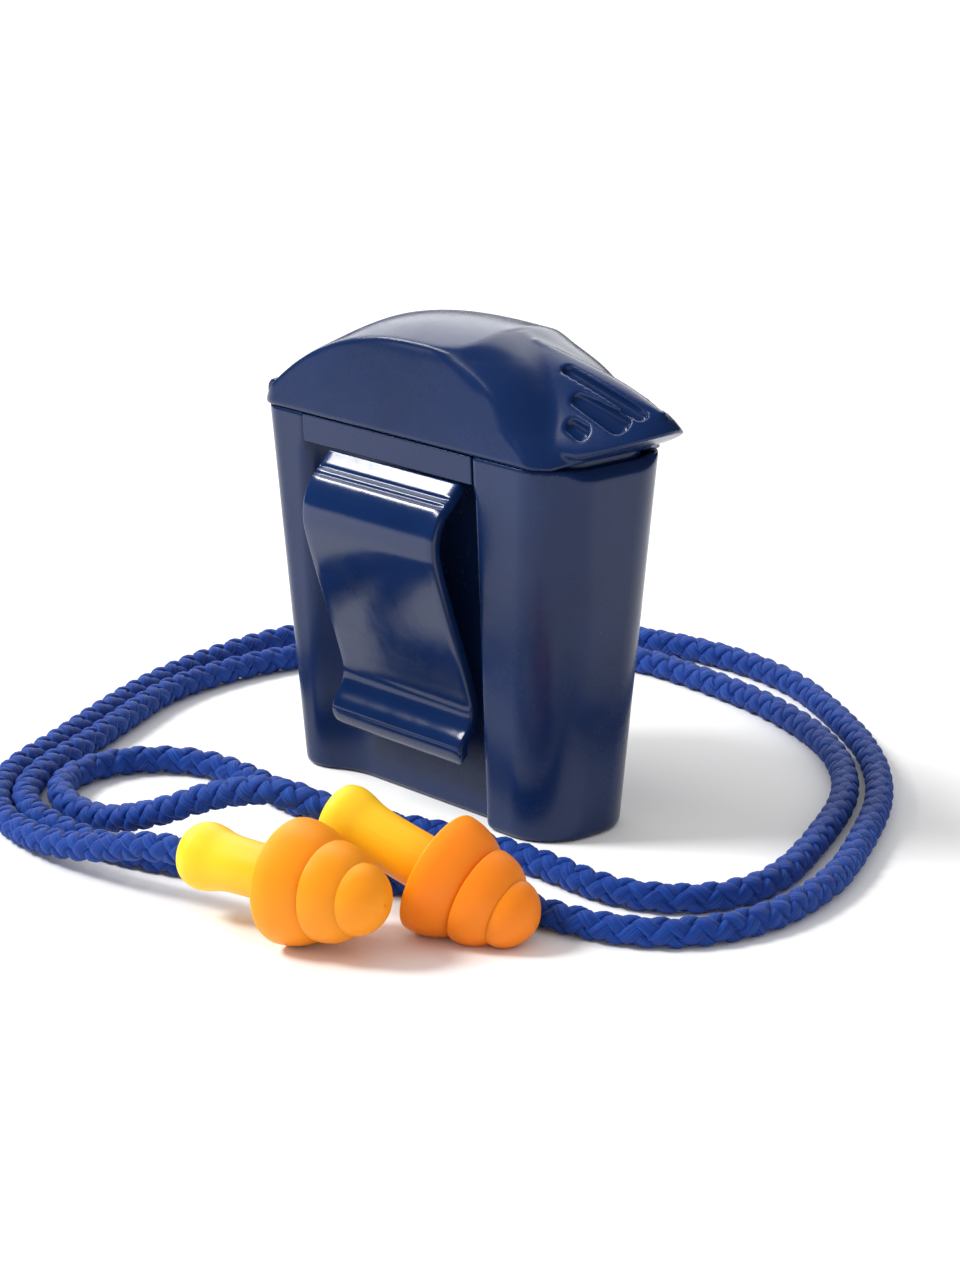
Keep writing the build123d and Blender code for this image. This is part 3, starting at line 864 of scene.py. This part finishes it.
def orange_elastomer(name, green):
    """Yellow at the stem as a painted highlight, deepening to the plug's own orange over the flanges;
    less green is a redder orange.
    """
    m = Nodes(name)
    place = m.add("ShaderNodeTexCoord")
    along = m.add("ShaderNodeAttribute", attribute_name="along")
    noise = m.add("ShaderNodeTexNoise", Scale=160.0, Detail=3.0)
    fine = m.add("ShaderNodeTexNoise", Scale=1400.0, Detail=2.0)
    m.link(place, "Object", noise, "Vector")
    m.link(place, "Object", fine, "Vector")
    # the yellow towards the stem end is a painted highlight of the key light, not the plug's own colour
    stops = [
        (0.0, (1.0, 0.64, 0.02, 1)),
        (0.4, (0.98, 0.46, 0.008, 1)),
        (0.6, (0.9, green, 0.004, 1)),
        (1.0, (0.9, green, 0.004, 1)),
    ]
    tint = m.ramp(along, "Fac", stops)
    mottle = m.ramp(noise, "Fac", [(0.3, grey(0.93)), (0.7, grey(1.0))])
    mix = m.add("ShaderNodeMix", data_type="RGBA", blend_type="MULTIPLY")
    mix.inputs["Factor"].default_value = 1
    # the mix node's colour inputs are 6 and 7, and its colour output is 2
    m.link(tint, "Color", mix, 6)
    m.link(mottle, "Color", mix, 7)
    m.link(mix, 2, m.shader, "Base Color")
    m.shader.inputs["Subsurface Weight"].default_value = 0.3
    m.shader.inputs["Subsurface Radius"].default_value = (1.0, 0.42, 0.08)
    m.shader.inputs["Subsurface Scale"].default_value = 0.0022
    m.shader.inputs["Specular IOR Level"].default_value = 0.3
    rough = m.ramp(noise, "Fac", [(0.2, grey(0.4)), (0.8, grey(0.52))])
    m.link(rough, "Color", m.shader, "Roughness")
    m.link(m.bump(fine, "Fac", 0.1, 0.00005), "Normal", m.shader, "Normal")
    return m.material


def blue_braid():
    """Fine blue yarn whose threads run along each strand; its tone varies from thread to thread, with a
    painted highlight on the raised yarn and painted shade in its hollows.
    """
    m = Nodes("blue_braid")
    thread = m.add("ShaderNodeAttribute", attribute_name="thread")
    place = m.add("ShaderNodeTexCoord")
    stretch = m.add("ShaderNodeMapping")
    stretch.inputs["Scale"].default_value = (9.0, 1.6, 3.0)
    m.link(thread, "Vector", stretch, "Vector")
    lines = m.add("ShaderNodeTexNoise", Scale=1.6, Detail=4.0, Roughness=0.6)
    m.link(stretch, "Vector", lines, "Vector")
    fuzz = m.add("ShaderNodeTexNoise", Scale=2600.0, Detail=2.0)
    m.link(place, "Object", fuzz, "Vector")
    # partly the yarn's own tone and partly painted light: the same noise raises the bump, so the light
    # end is a painted highlight on raised yarn and the dark end is painted shade in its hollows
    stops = [(0.25, srgb(3, 25, 84)), (0.5, srgb(8, 51, 134)), (0.78, srgb(30, 95, 190))]
    tint = m.ramp(lines, "Fac", stops)
    m.link(tint, "Color", m.shader, "Base Color")
    m.shader.inputs["Roughness"].default_value = 0.62
    m.shader.inputs["Specular IOR Level"].default_value = 0.25
    m.shader.inputs["Sheen Weight"].default_value = 0.12
    m.shader.inputs["Sheen Roughness"].default_value = 0.45
    m.shader.inputs["Sheen Tint"].default_value = (0.35, 0.5, 1.0, 1)
    yarn = m.bump(lines, "Fac", 0.55, 0.00022)
    m.link(m.bump(fuzz, "Fac", 0.2, 0.00006, yarn), "Normal", m.shader, "Normal")
    return m.material


def pin_metal():
    m = Nodes("pin_metal")
    place = m.add("ShaderNodeTexCoord")
    lines = m.add("ShaderNodeTexNoise", Scale=3000.0, Detail=2.0)
    m.link(place, "Object", lines, "Vector")
    m.shader.inputs["Metallic"].default_value = 1
    m.link(m.ramp(lines, "Fac", [(0.3, grey(0.5)), (0.7, grey(0.62))]), "Color", m.shader, "Base Color")
    m.link(m.ramp(lines, "Fac", [(0.3, grey(0.28)), (0.7, grey(0.4))]), "Color", m.shader, "Roughness")
    return m.material


def paint(obj, material):
    obj.data.materials.clear()
    obj.data.materials.append(material)


CASE_NAVY = navy_plastic("navy_case", 0.2, 0.32, 0.3)
CLIP_NAVY = navy_plastic("navy_clip", 0.1, 0.19, 0.4)
for piece in (tub, lid, plate):
    paint(piece, CASE_NAVY)
paint(arm, CLIP_NAVY)
# the right plug's lower green is painted shade: a redder copy of the same orange, for the plug that lies
# deeper in shade
paint(plug_left, orange_elastomer("orange_left", 0.3))
paint(plug_right, orange_elastomer("orange_right_painted_shade", 0.23))
paint(cord, blue_braid())
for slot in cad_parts["hinge_pin"].material_slots:
    slot.material = pin_metal()


# --- floor and light -----------------------------------------------------------------
def add_floor():
    half = 1.6
    corners = [(-half, -half, 0), (half, -half, 0), (half, half, 0), (-half, half, 0)]
    floor = mesh_object("floor", corners, [(0, 1, 2, 3)])
    m = Nodes("floor_white")
    place = m.add("ShaderNodeTexCoord")
    noise = m.add("ShaderNodeTexNoise", Scale=8.0, Detail=2.0)
    m.link(place, "Object", noise, "Vector")
    m.link(m.ramp(noise, "Fac", [(0.3, grey(0.86)), (0.7, grey(0.88))]), "Color", m.shader, "Base Color")
    m.shader.inputs["Roughness"].default_value = 0.9
    m.shader.inputs["Specular IOR Level"].default_value = 0.0
    paint(floor, m.material)


def area_light(name, place, target, size, power, diffuse=True):
    data = bpy.data.lights.new(name, "AREA")
    data.shape = "RECTANGLE"
    data.size, data.size_y = size
    data.energy = power
    light = bpy.data.objects.new(name, data)
    light.location = place
    light.rotation_euler = (Vector(target) - Vector(place)).to_track_quat("-Z", "Y").to_euler()
    light.visible_camera = False
    light.visible_diffuse = diffuse
    bpy.context.collection.objects.link(light)


def add_light():
    world = bpy.data.worlds.new("studio")
    bpy.context.scene.world = world
    world.use_nodes = True
    background = world.node_tree.nodes["Background"]
    background.inputs["Color"].default_value = (1, 1, 1, 1)
    background.inputs["Strength"].default_value = 0.78
    # the dark plastic keeps its depth when the white world isn't mirrored in it
    world.cycles_visibility.glossy = False
    bpy.context.scene.view_settings.view_transform = "Standard"
    sun = bpy.data.lights.new("key", "SUN")
    sun.energy = 2.3
    sun.angle = math.radians(16)
    key = bpy.data.objects.new("key", sun)
    key.rotation_euler = Vector((-0.42, -0.52, 0.72)).to_track_quat("Z", "Y").to_euler()
    key.visible_glossy = False
    bpy.context.collection.objects.link(key)
    area_light("strip", (-0.355, -0.19, 0.33), (0, 0, 0.035), (0.3, 0.05), 1.25)
    # the panel behind only shows as a reflection on the lid's crown
    area_light("back_panel", (-0.60, 0.47, 0.62), (0, 0, 0.05), (1.2, 0.95), 11.0, False)


add_floor()
add_light()
